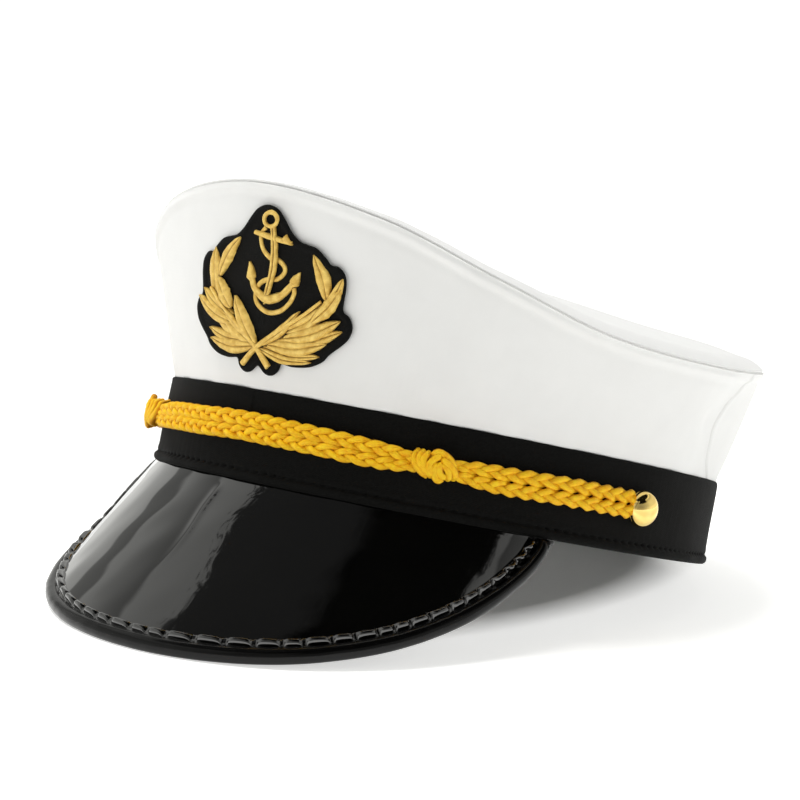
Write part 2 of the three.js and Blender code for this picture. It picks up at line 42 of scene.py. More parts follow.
# Crown. The rim's rise is a share of its front height by degrees from the front, and the side seams run at
# degrees from the front by shares of the wall's height.
CROWN_HALF_WIDTH = 100.8
CROWN_FRONT_REACH = 119.0
CROWN_BACK_REACH = 104.5
CROWN_FRONT_HEIGHT = 60.2
CROWN_MIDDLE_HEIGHT = 48.0
CROWN_WALL = 2.0
CROWN_INSET = 0.8
TOP_FULLNESS = 2.6
SEAM_DIP = 3.0
SEAM_DIP_SPREAD = 9.0
SEAM_GAP = 0.12
CROWN_RADIUS = 100.0
CROWN_DEGREE = 1.75
RIM_RISE = {0: 1, 25: 0.905, 45: 0.722, 65: 0.575, 90: 0.572, 130: 0.672, 180: 0.668}
SIDE_SEAM = {0: 106, 0.35: 102, 0.6: 101, 1: 105.5}

# Visor and binding. The crease runs at shares along the visor by shares from its root to its edge.
VISOR_REACH = 39.2
VISOR_HALF_ANGLE = math.radians(62.1)
VISOR_WALL = 1.8
VISOR_FACE = 0.6
VISOR_INSET = 0.7
VISOR_ROOT = 0.0
VISOR_END = 0.985
VISOR_LIP = 4.4
VISOR_HALF_LENGTH = 119.0
UNDER_BAND = -0.05
CREASE_HEIGHT = 0.28
CREASE = {0.06: -0.050, 0.12: -0.047, 0.22: -0.045, 0.37: -0.031, 0.49: -0.03, 0.64: -0.037}
BINDING_WIDTH = 7.4
BINDING_THICKNESS = 4.8
EDGE_LIFT = 0.6486
LOZENGE_PITCH = 6.3

# Braid, knots and buttons
CORD_SPACING = 4.2
CORD_HALF_WIDTH = 2.4
BRAID_HEIGHT = 15.0
BRAID_RISE = 1.2
PLAIT_PERIOD = 15.6
STRAND_WIDTH = 2.1
STRAND_DEPTH = 1.9
STRAND_FACE = 1.6
STRAND_SIDES = 14
KNOT_ANGLE = math.radians(37.9)
KNOT_LENGTH = 13.6
KNOT_DOME = (8.6, 6.9)
KNOT_STRAND_WIDTH = 2.5
KNOT_TUCK = 1.6
NEAR_KNOT_SIZE = 0.86
FAR_KNOT_SIZE = 0.98
CORD_INTO_KNOT = 1.5
CORD_INTO_BUTTON = 0.6
BUTTON_ANGLE = math.radians(80.3)
BUTTON_RADIUS = 5.8
BUTTON_TURN = 0.009
BUTTON_DROP = 0.6

# Badge
BADGE_HALF_WIDTH = 30.0
BADGE_HEIGHT = 50.0
BADGE_RAISE = 3.6
BADGE_SHIFT = 3.0
BADGE_LEAN = 0.2
BADGE_MIDDLE = 0.35
THREAD_PITCH = 0.5

# Meshes: the layer that holds each piece's own lengths, and the angle from which an edge is sharp
UV_NAME = "lengths"
SHARP_ANGLE = math.radians(72)

# Studio: the walls' brightness by the sine of the height over the horizon, and the dark ceiling's start
WALL_STRENGTH = 1.15
WALL_LEVELS = [(0.0, 0.93), (0.10, 1.0), (0.22, 0.75), (0.50, 0.71), (0.58, 0.57), (0.685, 0.36),
               (0.70, 0.86), (0.85, 0.75)]
CEILING_START = 0.786
CEILING_LEVEL = 0.012
RAGGEDNESS = 0.22
CAMERA_SIDE = math.radians(48)
CAMERA_SIDE_LEVEL = 0.34
TABLE_HALF_SIZE = 6.0
# The table glows as no lamp does, and leaves out its glow in an oval under the cap as a painted shadow,
# placed by the oval's shift and scale
TABLE_GLOW = 0.58
PAINTED_SHADOW_SHIFT = (0, -0.055, 0)
PAINTED_SHADOW_SCALE = (5.5, 2.7, 1)

# Soft lights by azimuth from the front, height over the horizon and strength
SOFT_LIGHTS = {"top_light": (-66, 72, 2.3), "right_light": (118, 25, 0.4)}
LIGHT_SPREAD = math.radians(30)

# Camera, in metres in the frame at rest
CAMERA_LENS = 89.48
CAMERA_SENSOR = 36.0
CAMERA_AT = (0.4058, -0.5174, 0.1530)
CAMERA_RIGHT = (0.7772, 0.6267, 0.0565)
CAMERA_UP = (-0.1307, 0.0730, 0.9888)
CAMERA_FORWARD = (-0.6155, 0.7758, -0.1386)


# Numbers and curves

def hermite(table, at, flat_ends):
    """Reads a table of values with the same smooth curve as the frame's source."""
    keys = np.array(list(table), float)
    values = np.array(list(table.values()), float)
    slopes = np.zeros(len(keys))
    slopes[1:-1] = (values[2:] - values[:-2]) / (keys[2:] - keys[:-2])
    if not flat_ends:
        slopes[0] = 1.5 * (values[1] - values[0]) / (keys[1] - keys[0]) - slopes[1] / 2
        slopes[-1] = 1.5 * (values[-1] - values[-2]) / (keys[-1] - keys[-2]) - slopes[-2] / 2
    at = np.clip(at, keys[0], keys[-1])
    i = np.clip(np.searchsorted(keys, at, side="right") - 1, 0, len(keys) - 2)
    step = keys[i + 1] - keys[i]
    t = (at - keys[i]) / step
    return (
        (2 * t**3 - 3 * t**2 + 1) * values[i]
        + (t**3 - 2 * t**2 + t) * step * slopes[i]
        + (3 * t**2 - 2 * t**3) * values[i + 1]
        + (t**3 - t**2) * step * slopes[i + 1]
    )


def smoothstep(low, high, at):
    t = np.clip((at - low) / (high - low), 0, 1)
    return t * t * (3 - 2 * t)


def hump(at, middle, spread):
    """A smooth bump of height 1."""
    return np.exp(-(((at - middle) / spread) ** 2))


def full_turn(count):
    return np.linspace(0, 2 * math.pi, count, endpoint=False)


def unit(vectors):
    return vectors / np.maximum(np.linalg.norm(vectors, axis=-1, keepdims=True), 1e-12)


def vector(x, y, z):
    return np.stack(np.broadcast_arrays(x, y, z), -1).astype(float)


def undulation(points, wavelength, seed, waves=14):
    """Smooth noise of about -1 to 1 over points, as a sum of seeded waves of about one wavelength."""
    rng = np.random.default_rng(seed)
    total = np.zeros(points.shape[:-1])
    for _ in range(waves):
        direction = unit(rng.normal(size=3))
        length = wavelength * rng.uniform(0.7, 1.6)
        total += np.sin(points @ direction * (2 * math.pi / length) + rng.uniform(0, 2 * math.pi))
    return total / math.sqrt(waves)


def smooth_line(corners, count, loop=False):
    """A smooth curve through corner points, with evenly spaced points along it."""
    corners = np.array(corners, float)
    if loop:
        padded = np.concatenate([corners[-1:], corners, corners[:2]])
    else:
        before = 2 * corners[:1] - corners[1:2]
        after = 2 * corners[-1:] - corners[-2:-1]
        padded = np.concatenate([before, corners, after])
    fine = []
    for a, b, c, d in zip(padded, padded[1:], padded[2:], padded[3:]):
        t = np.linspace(0, 1, 24, endpoint=False)[:, None]
        squared = (2 * a - 5 * b + 4 * c - d) * t**2
        cubed = (3 * b - a - 3 * c + d) * t**3
        fine.append(0.5 * (2 * b + (c - a) * t + squared + cubed))
    fine = np.concatenate(fine + [padded[-2][None]])
    along = line_length(fine)
    wanted = np.linspace(0, along[-1], count, endpoint=not loop)
    return np.stack([np.interp(wanted, along, fine[:, k]) for k in range(corners.shape[1])], -1)


def line_length(points):
    return np.concatenate([[0], np.cumsum(np.linalg.norm(np.diff(points, axis=0), axis=1))])


# Forms of the cap, the same as the frame's

def band_normal(angle):
    return unit(vector(np.sin(angle) / BAND_HALF_WIDTH, -np.cos(angle) / BAND_HALF_LENGTH, 0))


def band_point(angle, outwards, height):
    face = vector(BAND_HALF_WIDTH * np.sin(angle), -BAND_HALF_LENGTH * np.cos(angle), height)
    return face + band_normal(angle) * np.asarray(outwards)[..., None]


def degrees_from_front(angle):
    return np.degrees(np.arccos(np.clip(np.cos(angle), -1, 1)))


def rim_reach(angle):
    return np.where(np.cos(angle) > 0, CROWN_FRONT_REACH, CROWN_BACK_REACH)


def rim_height(angle):
    return CROWN_FRONT_HEIGHT * hermite(RIM_RISE, degrees_from_front(angle), True)


def rim_point(angle, inwards):
    reach = rim_reach(angle)
    height = BAND_HEIGHT + rim_height(angle)
    point = vector(CROWN_HALF_WIDTH * np.sin(angle), -reach * np.cos(angle), height)
    normal = unit(vector(reach * np.sin(angle), -CROWN_HALF_WIDTH * np.cos(angle), 0))
    return point - normal * np.asarray(inwards)[..., None]


def top_height(angle, share):
    edge = share**TOP_FULLNESS
    return BAND_HEIGHT + rim_height(angle) * edge + CROWN_MIDDLE_HEIGHT * (1 - edge)


def seam_angle(share):
    return np.radians(hermite(SIDE_SEAM, share, False))


def wall_point(angle, share, inwards):
    """A point of the crown's wall, a share of the way up from the band to the rim."""
    angle, share, inwards = np.broadcast_arrays(np.asarray(angle, float), share, inwards)
    foot = band_point(angle, -CROWN_INSET - inwards, BAND_HEIGHT)
    rim = rim_point(angle, inwards)
    rim[..., 2] = top_height(angle, 1 - inwards / rim_reach(angle))
    point = foot + (rim - foot) * share[..., None]
    from_seam = degrees_from_front(angle) - np.degrees(seam_angle(np.clip(share, 0, 1)))
    dip = SEAM_DIP * np.sin(math.pi * np.clip(share, 0, 1)) * hump(from_seam, 0, SEAM_DIP_SPREAD)
    return point - band_normal(angle) * dip[..., None]


def visor_edge(along):
    reach = VISOR_REACH * np.cos(math.pi / 2 * np.clip(np.abs(along), 0, 1)) ** 1.06
    point = band_point(VISOR_HALF_ANGLE * along, reach, 0)
    drop = np.clip(1 - np.abs(along) ** 3.5, 0, 1) ** 0.7
    back = BAND_HALF_LENGTH + 0.9
    point[..., 2] = (EDGE_LIFT - math.tan(REST_PITCH) * (back - point[..., 1])) * drop
    return point


def visor_point(along, out):
    root = band_point(VISOR_HALF_ANGLE * along, -VISOR_INSET, VISOR_ROOT)
    return root + (visor_edge(along) - root) * np.asarray(out)[..., None]


def visor_normal(along, out):
    step = 1e-3
    inside = np.clip(along, step - 1, 1 - step)
    aside = visor_point(inside + step, out) - visor_point(inside - step, out)
    outwards = visor_point(inside, out + step) - visor_point(inside, out - step)
    return unit(np.cross(outwards, aside))


def edge_frame(along):
    step = 1e-3
    inside = np.clip(along, step - 1, 1 - step)
    forward = unit(visor_edge(inside + step) - visor_edge(inside - step))
    normal = visor_normal(inside, np.ones_like(inside))
    return unit(np.cross(forward, normal)), normal


def badge_point(across, up, rise):
    """A point of the badge, at shares of its half width and height, at a height above the crown's wall."""
    across = across + BADGE_LEAN * (up - BADGE_MIDDLE)
    height = BADGE_RAISE + up * BADGE_HEIGHT
    half = BAND_HALF_WIDTH + (CROWN_HALF_WIDTH - BAND_HALF_WIDTH) * height / CROWN_FRONT_HEIGHT
    angle = np.arcsin((BADGE_SHIFT + across * BADGE_HALF_WIDTH) / half)
    share = height / rim_height(angle)
    step = 1e-3
    aside = wall_point(angle + step, share, 0) - wall_point(angle - step, share, 0)
    upwards = wall_point(angle, share + step, 0) - wall_point(angle, share - step, 0)
    return wall_point(angle, share, 0) + unit(np.cross(aside, upwards)) * np.asarray(rise)[..., None]


def place(points):
    """From the upright cap's frame in millimetres to the frame at rest in metres."""
    x, y, z = points[..., 0], points[..., 1], points[..., 2]
    sine, cosine = math.sin(REST_PITCH), math.cos(REST_PITCH)
    return vector(x, y * cosine + z * sine + REST_Y, -y * sine + z * cosine + REST_Z) / 1000


# Meshes

def sweep(sections, loop=False):
    """A closed body through sections, an array of stations by points round each closed section."""
    stations, sides = sections.shape[:2]
    spans = stations if loop else stations - 1
    i, j = np.meshgrid(np.arange(spans), np.arange(sides), indexing="ij")
    here, there, after = i * sides, ((i + 1) % stations) * sides, (j + 1) % sides
    quads = np.stack([here + j, there + j, there + after, here + after], -1).reshape(-1, 4)
    closed = np.concatenate([sections, sections[:, :1]], 1)
    side_lengths = np.cumsum(np.linalg.norm(np.diff(closed, axis=1), axis=-1), 1)
    round_length = np.concatenate([np.zeros((stations, 1)), side_lengths], 1)
    if loop:
        round_length = np.concatenate([round_length, round_length[:1]])
    spanned = np.concatenate([sections, sections[:1]]) if loop else sections
    station_step = np.linalg.norm(np.diff(spanned, axis=0), axis=-1).max(1)
    along = np.concatenate([[0], np.cumsum(station_step)])
    corners = [(i, j), (i + 1, j), (i + 1, j + 1), (i, j + 1)]
    uv = np.stack([np.stack([along[a], round_length[a, b]], -1) for a, b in corners], 2).reshape(-1, 4, 2)
    faces = quads.tolist()
    uvs = list(uv.reshape(-1, 2))
    if not loop:
        for end in (0, stations - 1):
            faces.append(list(range(end * sides, (end + 1) * sides)))
            uvs += [np.array([along[end], length]) for length in round_length[end, :sides]]
    return sections.reshape(-1, 3), faces, uvs


def merge(parts):
    verts, faces, uvs, offset = [], [], [], 0
    for part_verts, part_faces, part_uvs in parts:
        verts.append(part_verts)
        faces += [[index + offset for index in face] for face in part_faces]
        uvs += list(part_uvs)
        offset += len(part_verts)
    return np.concatenate(verts), faces, uvs


def add_piece(name, parts, look, nodes=(), pick_second=None, second=None):
    """Makes one object from swept parts, in the frame at rest, and ties it to the frame."""
    verts, faces, uvs = merge(parts)
    mesh = bpy.data.meshes.new(name)
    mesh.from_pydata(place(verts).tolist(), [], faces)
    layer = mesh.uv_layers.new(name=UV_NAME)
    layer.data.foreach_set("uv", np.array(uvs, np.float32).ravel())
    mesh.polygons.foreach_set("use_smooth", np.ones(len(faces), bool))
    piece = bpy.data.objects.new(name, mesh)
    bpy.context.scene.collection.objects.link(piece)
    mesh.materials.append(look)
    if second is not None:
        mesh.materials.append(second)
        mesh.polygons.foreach_set("material_index", pick_second(faces))
    mesh.update()
    outwards(mesh)
    mesh.set_sharp_from_angle(angle=SHARP_ANGLE)
    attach(piece, "root")
    if nodes:
        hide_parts(*nodes)


def outwards(mesh):
    """Turns the faces of each closed body so that they look outwards."""
    work = bmesh.new()
    work.from_mesh(mesh)
    bmesh.ops.recalc_face_normals(work, faces=work.faces)
    work.to_mesh(mesh)
    work.free()


def tube(path, width, depth, outward, sides=12):
    """Sections of a strand along a path, as wide and as deep as asked, with its depth along outward."""
    tangent = unit(np.gradient(path, axis=0))
    side = unit(np.cross(tangent, outward))
    face = unit(np.cross(side, tangent))
    turn = full_turn(sides)
    width = np.broadcast_to(width, len(path))[:, None, None] / 2
    depth = np.broadcast_to(depth, len(path))[:, None, None] / 2
    return (path[:, None] + side[:, None] * np.cos(turn)[None, :, None] * width
            + face[:, None] * np.sin(turn)[None, :, None] * depth)


def lobed(path, sections, lobes, depth, twist):
    """Presses twisted lobes into the sections of a strand, as its yarns do."""
    swell = 1 + depth * np.cos(lobes * full_turn(sections.shape[1])[None, :] + twist[:, None])
    return path[:, None] + (sections - path[:, None]) * swell[..., None]


# Materials

def add_node(tree, kind, inputs, **settings):
    """Adds a shader node, and sets or links its inputs."""
    made = tree.nodes.new("ShaderNode" + kind)
    for key, value in settings.items():
        setattr(made, key, value)
    for key, value in inputs.items():
        if isinstance(value, bpy.types.NodeSocket):
            tree.links.new(value, made.inputs[key])
        else:
            made.inputs[key].default_value = value
    return made


def blend(tree, mode, a, b):
    """One colour multiplied by another, added to it, or the lighter of the two."""
    mixed = add_node(tree, "Mix", {"Factor": 1.0, 6: a, 7: b}, data_type="RGBA", blend_type=mode)
    return mixed.outputs[2]


class Look:
    """A material with a principled shader, whose numbers are set on the shader's own sockets."""

    def __init__(self, name, **sockets):
        self.material = bpy.data.materials.new(name)
        self.material.use_nodes = True
        self.tree = self.material.node_tree
        self.shader = self.tree.nodes["Principled BSDF"]
        for socket, value in sockets.items():
            self.shader.inputs[socket.replace("_", " ")].default_value = value

    def node(self, kind, inputs, **settings):
        return add_node(self.tree, kind, inputs, **settings)

    def math(self, operation, a, b=0.0):
        return self.node("Math", {0: a, 1: b}, operation=operation).outputs[0]

    def lengths(self):
        """The piece's own lengths in millimetres, along it and across it."""
        return self.node("UVMap", {}, uv_map=UV_NAME).outputs[0]

    def place(self):
        return self.node("TexCoord", {}).outputs["Object"]

    def stripes(self, pitch, turn=0.0, distortion=0.0):
        """Even ridges from 0 to 1 across the piece's lengths."""
        turned = self.node("Mapping", {"Vector": self.lengths(), "Rotation": (0, 0, turn)}).outputs[0]
        inputs = {"Vector": turned, "Scale": math.pi / (10 * pitch), "Distortion": distortion}
        return self.node("TexWave", inputs, wave_type="BANDS", bands_direction="X").outputs["Fac"]

    def noise(self, size, detail=3.0):
        """Noise with features of about a size in millimetres, from 0 to 1."""
        inputs = {"Vector": self.place(), "Scale": 1000 / size, "Detail": detail}
        return self.node("TexNoise", inputs).outputs["Fac"]

    def shade(self, factor, dark, light, low=0.3, high=0.7):
        ramp = self.node("ValToRGB", {"Fac": factor})
        ramp.color_ramp.elements[0].position = low
        ramp.color_ramp.elements[1].position = high
        ramp.color_ramp.elements[0].color = (*dark, 1)
        ramp.color_ramp.elements[1].color = (*light, 1)
        return ramp.outputs[0]

    def into(self, socket, value):
        self.tree.links.new(value, self.shader.inputs[socket])

    def bump(self, *heights):
        """Relief from pairs of a height and its depth in millimetres."""
        normal = None
        for height, depth in heights:
            inputs = {"Height": height, "Strength": 1.0, "Distance": depth / 1000}
            if normal is not None:
                inputs["Normal"] = normal
            normal = self.node("Bump", inputs).outputs[0]
        self.into("Normal", normal)


def white_cloth():
    look = Look("white_cloth", Roughness=0.78, Sheen_Weight=0.15, Sheen_Roughness=0.5)
    weave = look.math("MULTIPLY", look.stripes(0.42), look.stripes(0.42, math.pi / 2))
    look.into("Base Color", look.shade(look.noise(9), (0.85, 0.85, 0.84), (0.87, 0.87, 0.86)))
    look.bump((look.noise(14, 2), 0.05), (weave, 0.02))
    return look.material


def black_cloth():
    look = Look("black_cloth", Roughness=0.85, Sheen_Weight=0.03, Sheen_Roughness=0.4,
                Specular_IOR_Level=0.1)
    twill = look.stripes(0.55, math.radians(52), 0.3)
    fuzz = look.noise(0.7, 4)
    look.into("Base Color", look.shade(fuzz, (0.0022, 0.0022, 0.002), (0.0055, 0.0055, 0.005)))
    look.bump((look.noise(11, 2), 0.25), (twill, 0.03), (fuzz, 0.04))
    return look.material


def black_thread():
    look = Look("black_thread", Roughness=0.8, Specular_IOR_Level=0.15)
    look.into("Base Color", look.shade(look.noise(0.5), (0.001, 0.001, 0.001), (0.003, 0.003, 0.003)))
    look.bump((look.stripes(0.4, math.radians(35)), 0.04))
    return look.material


def patent(name="patent", specular=0.5):
    look = Look(name, Roughness=0.05, Coat_Weight=0.6, Coat_Roughness=0.02, Specular_IOR_Level=specular)
    look.into("Base Color", look.shade(look.noise(30), (0.0008, 0.0008, 0.0007), (0.0014, 0.0014, 0.0012)))
    look.bump((look.noise(9, 2), 0.012), (look.noise(1.2, 2), 0.0006))
    return look.material


def patent_binding():
    look = Look("patent_binding", Roughness=0.22, Specular_IOR_Level=0.2, Coat_Weight=0.05,
                Coat_Roughness=0.08)
    look.into("Base Color", look.shade(look.noise(4), (0.001, 0.001, 0.001), (0.002, 0.002, 0.002)))
    look.bump((look.noise(6, 2), 0.02), (look.noise(0.9, 3), 0.004))
    return look.material


def gold_cord():
    look = Look("gold_cord", Roughness=0.55, Sheen_Weight=0.1, Sheen_Roughness=0.35, Specular_IOR_Level=0.3,
                Sheen_Tint=(1.0, 0.7, 0.2, 1))
    fibres = look.stripes(0.5, math.radians(70), 0.6)
    tone = look.shade(look.noise(1.6, 3), (0.92, 0.45, 0.003), (1.0, 0.66, 0.014))
    # Painted shade: the base colour darkens towards each strand's sides, where the strands meet in the
    # plait's crevices
    across = look.node("SeparateXYZ", {0: look.lengths()}).outputs["Y"]
    from_face = look.math("ABSOLUTE", look.math("SUBTRACT", across, STRAND_FACE))
    edge = look.shade(look.math("MULTIPLY", from_face, 0.5), (1, 1, 1), (0.74, 0.56, 0.42), 0.38, 0.7)
    look.into("Base Color", blend(look.tree, "MULTIPLY", tone, edge))
    look.bump((fibres, 0.08), (look.noise(0.5, 3), 0.03))
    return look.material


def gold_thread():
    look = Look("gold_thread", Roughness=0.42, Sheen_Weight=0.2, Sheen_Roughness=0.4,
                Sheen_Tint=(1.0, 0.85, 0.5, 1), Metallic=0.1)
    threads = look.stripes(THREAD_PITCH, 0.18, 0.8)
    tone = look.shade(look.noise(1.8, 3), (0.70, 0.42, 0.065), (0.98, 0.70, 0.18))
    # Painted shade: ambient occlusion darkens the base colour in the hollows between the stitches and the
    # leaves
    painted_hollow_shade = look.node("AmbientOcclusion", {"Distance": 0.0012}).outputs["AO"]
    painted_hollow_shade = look.shade(painted_hollow_shade, (0.26, 0.16, 0.09), (1, 1, 1), 0.2, 0.85)
    look.into("Base Color", blend(look.tree, "MULTIPLY", tone, painted_hollow_shade))
    look.bump((threads, 0.07), (look.noise(0.8, 2), 0.02))
    return look.material


def patch_cloth():
    look = Look("patch_cloth", Roughness=0.85, Sheen_Weight=0.03, Specular_IOR_Level=0.12)
    fuzz = look.noise(0.5, 4)
    look.into("Base Color", look.shade(fuzz, (0.0025, 0.0025, 0.0022), (0.006, 0.006, 0.0055)))
    look.bump((look.stripes(0.55), 0.05), (fuzz, 0.08))
    return look.material


def brass():
    look = Look("brass", Metallic=1.0, Roughness=0.1)
    look.into("Base Color", look.shade(look.noise(3), (0.90, 0.63, 0.19), (0.96, 0.72, 0.26)))
    look.bump((look.noise(0.8, 2), 0.004))
    return look.material


# Crown

def displaced(points, amount):
    """Moves a grid of points along its normals."""
    across = np.gradient(points, axis=0)
    up = np.gradient(points, axis=1)
    return points + unit(np.cross(across, up)) * amount[..., None]


def crown_relief(angle, share, points):
    """The folds, puckers and seam ridges of the crown's wall, in millimetres outwards."""
    height = share * rim_height(angle)
    below_rim = (1 - share) * rim_height(angle)
    around = angle * CROWN_RADIUS
    from_seam = (degrees_from_front(angle) - np.degrees(seam_angle(share))) * CROWN_DEGREE
    folds = 0.22 * undulation(points * np.array([1, 1, 0.55]), 46, 3) * smoothstep(0, 12, height)
    ridge = 0.42 * hump(below_rim, 2.3, 1.1) - 0.2 * hump(below_rim, 4.6, 1.5)
    rim_puckers = 0.10 * undulation(vector(around, 0, 0), 9, 5) * np.exp(-below_rim / 5)
    foot_puckers = 0.14 * undulation(vector(around, 0, 0), 11, 7) * np.exp(-height / 6)
    groove = -0.75 * hump(from_seam, 0, 0.65) + 0.3 * hump(np.abs(from_seam), 2.0, 1.1)
    drag = 0.28 * undulation(vector(height, from_seam * 0.25, 0), 9, 9) * np.exp(-np.abs(from_seam) / 7)
    dimple = -0.9 * hump(from_seam, -9, 4.5) * hump(share, 0.48, 0.14)
    fade = smoothstep(0, 3, below_rim)
    at_seam = (groove + drag + dimple) * np.minimum(1, fade + 0.3)
    return folds * fade + ridge + rim_puckers + foot_puckers + at_seam


def crown_wall(behind):
    gap = SEAM_GAP / BAND_HALF_WIDTH
    shares = np.linspace(0, 1, 88)
    stations = 300 if behind else 430
    seam = seam_angle(shares)
    along = np.linspace(-1, 1, stations)[:, None]
    angle = math.pi + along * (math.pi - seam - gap) if behind else along * (seam - gap)
    share = np.broadcast_to(shares, angle.shape)
    outer = wall_point(angle, share, 0)
    outer = displaced(outer, crown_relief(angle, share, outer))
    top = angle[:, -1:]
    turn = np.linspace(0.35, 1.5, 5) * math.pi / 2
    lip = wall_point(top, 1, 0.9 * (1 - np.cos(turn)))
    lip[..., 2] += 0.55 * np.sin(turn) - 0.75
    outer[:, -3:, 2] -= np.array([0.1, 0.3, 0.6])
    inner_shares = np.linspace(1, 0, 24)
    inner_angle = np.stack([np.interp(inner_shares, shares, row) for row in angle])
    inner = wall_point(inner_angle, inner_shares[None, :] * 0.985, CROWN_WALL)
    return sweep(np.concatenate([outer, lip, inner], 1))


def crown_top():
    angle = full_turn(420)[:, None]
    share = 1 - np.concatenate([np.linspace(0, 0.12, 26), np.linspace(0.13, 0.9995, 46)])
    depth = (1 - share) * rim_reach(angle)
    lift = CROWN_WALL * (0.18 + 0.82 * (1 - np.exp(-depth / 2.6))) + 0.55 * hump(depth, 5.5, 4)
    edge = rim_point(angle, 0.35)
    points = vector(edge[..., 0] * share, edge[..., 1] * share, top_height(angle, share) + lift)
    near_rim = np.exp(-depth / 9) * (1 - np.exp(-depth / 1.5))
    puckers = 0.16 * undulation(vector(angle * CROWN_RADIUS, 0, 0), 13, 21) * near_rim
    folds = 0.55 * undulation(points, 60, 23) * smoothstep(4, 22, depth)
    points[..., 2] += puckers + folds
    tuck = rim_point(angle, np.array([[1.3, 0.8]]))
    tuck[..., 2] = top_height(angle, 1.0) + np.array([[-0.5, 0.0]])
    under_share = np.linspace(0.0005, 0.985, 18)
    under = vector(edge[..., 0] * under_share, edge[..., 1] * under_share, top_height(angle, under_share))
    return sweep(np.concatenate([tuck, points, under], 1), True)


# Band

def band_stations(count):
    """Angles at even lengths round the band."""
    angle = np.linspace(0, 2 * math.pi, 4001)
    length = line_length(band_point(angle, 0, 0))
    return np.interp(np.linspace(0, length[-1], count, endpoint=False), length, angle), length[-1]


def band():
    angle, total = band_stations(1300)
    stitches = round(total / STITCH_PITCH)
    height = np.concatenate([np.linspace(0.35, 6, 24), np.linspace(6.8, BAND_HEIGHT - 1.2, 24)])
    length = np.arange(len(angle)) / len(angle) * total
    phase = 2 * math.pi * length / total * stitches
    flare = HEM_FLARE * (1 - 0.78 * smoothstep(1.6, 4.4, height)) * smoothstep(6.4, 4.0, height)
    flare = flare - 0.45 * hump(height, 0.2, 0.5)
    around = vector(length, 0, 0)
    line = hump(height, HEM_STITCH_HEIGHT, 0.55)[None, :]
    pull = 1 + 0.5 * undulation(around, 23, 31)[:, None]
    dots = (0.5 + 0.5 * np.cos(phase))[:, None] ** 4
    relief = -0.45 * line - 0.5 * dots * line * pull
    beside_line = (hump(height, 1.5, 1.3) + 0.6 * hump(height, 5, 1.8))[None, :]
    puckers = -0.01 * np.cos(phase)[:, None] * pull * beside_line
    wave = 0.16 * undulation(vector(length[:, None], height[None, :] * 1.2, 0), 28, 33)
    hem_wave = 0.14 * undulation(around, 13, 35)[:, None] * hump(height, 1.5, 2.5)
    wave = wave * smoothstep(2, 8, height) + hem_wave
    out = flare[None, :] + relief + puckers + wave
    face = band_point(angle[:, None], out, height[None, :])
    roll = np.array([(-0.10, -0.55), (-0.35, -0.12), (-0.8, 0.0), (-1.2, -0.3)])
    top = band_point(angle[:, None], roll[:, 0], BAND_HEIGHT + roll[:, 1])
    inner = [(-1.6, BAND_HEIGHT - 0.5)]
    inner += [(-BAND_WALL, level) for level in (BAND_HEIGHT - 0.8, 22, 16, 10, 4, 0.9)]
    inner += [(-BAND_WALL + 0.4, 0.25), (-1.7, 0.0), (-0.8, 0.0), (0.1, 0.03)]
    inner = np.array(inner)
    under = band_point(angle[:, None], inner[:, 0], inner[:, 1])
    return sweep(np.concatenate([face, top, under], 1), True)


def band_stitches():
    """Short sunk stitches along the hem."""
    angle, total = band_stations(round(band_stations(8)[1] / STITCH_PITCH))
    parts = []
    rng = np.random.default_rng(41)
    for start in angle:
        half = STITCH_LENGTH / 2 / total * 2 * math.pi
        middle = start + math.pi / len(angle)
        at = middle + np.linspace(-half, half, 6)
        rise = np.array([-0.55, -0.2, -0.12, -0.12, -0.2, -0.55])
        tilt = np.linspace(-0.5, 0.5, 6) * rng.normal(0, 0.25)
        path = band_point(at, 0.08 + rise, HEM_STITCH_HEIGHT + tilt)
        parts.append(sweep(tube(path, 0.42, 0.34, band_normal(at), 6)))
    return parts


# Visor

def visor():
    stations = 520
    along = VISOR_END * np.sin(np.linspace(-1, 1, stations) * math.pi / 2)[:, None]
    rows = np.concatenate([[0], np.linspace(0.003, 1, 87)])[None, :]
    outward, _ = edge_frame(along[:, 0])
    lip = visor_edge(along[:, 0]) - outward * VISOR_LIP
    root = visor_point(along[:, 0], np.zeros(len(along)))
    middle = root[:, None] + (lip - root)[:, None] * rows[..., None]
    shape = (stations, rows.shape[1])
    normal = visor_normal(np.broadcast_to(along, shape), np.broadcast_to(rows, shape))
    ripple = 0.10 * undulation(middle, 34, 51) + 0.05 * undulation(middle, 14, 53)
    ripple = ripple * smoothstep(0, 0.1, rows) * smoothstep(1, 0.85, rows)
    beside_crease = (along - hermite(CREASE, rows, True)) * VISOR_HALF_LENGTH
    crease = hump(beside_crease, 0, 1.8 - rows) * smoothstep(0.04, 0.12, rows) * smoothstep(0.66, 0.3, rows)
    ripple = ripple + CREASE_HEIGHT * crease
    upper = middle + normal * (VISOR_FACE + ripple)[..., None]
    coarse = slice(None, None, -4)
    lower = middle[:, coarse] - normal[:, coarse] * VISOR_WALL / 2
    upper[..., 2] = np.minimum(upper[..., 2], 0.35 * smoothstep(0.03, 0, rows) + UNDER_BAND)
    lower[..., 2] = np.minimum(lower[..., 2], UNDER_BAND)
    return sweep(np.concatenate([upper, lower], 1))


# Section of the binding, as lengths outwards from its inner edge and up: the row of stitched lozenges, with
# the strength of their swelling, and the lower side. The roll lies between them.
LOZENGE_ROW = [(-0.1, 0.95, 0), (0.1, 1.15, 0.55), (0.5, 1.25, 0.9), (1.0, 1.3, 1.05), (1.6, 1.2, 0.92),
               (2.1, 1.1, 0.6), (2.45, 0.95, 0.05), (2.7, 1.2, 0)]
ROLL_SIDES = 30
LOWER_SIDE = [(2.2, -1.5), (1.2, -1.75), (0.4, -1.6), (0, -1.2), (0, -0.95)]
BINDING_SIDES = len(LOZENGE_ROW) + ROLL_SIDES + len(LOWER_SIDE)


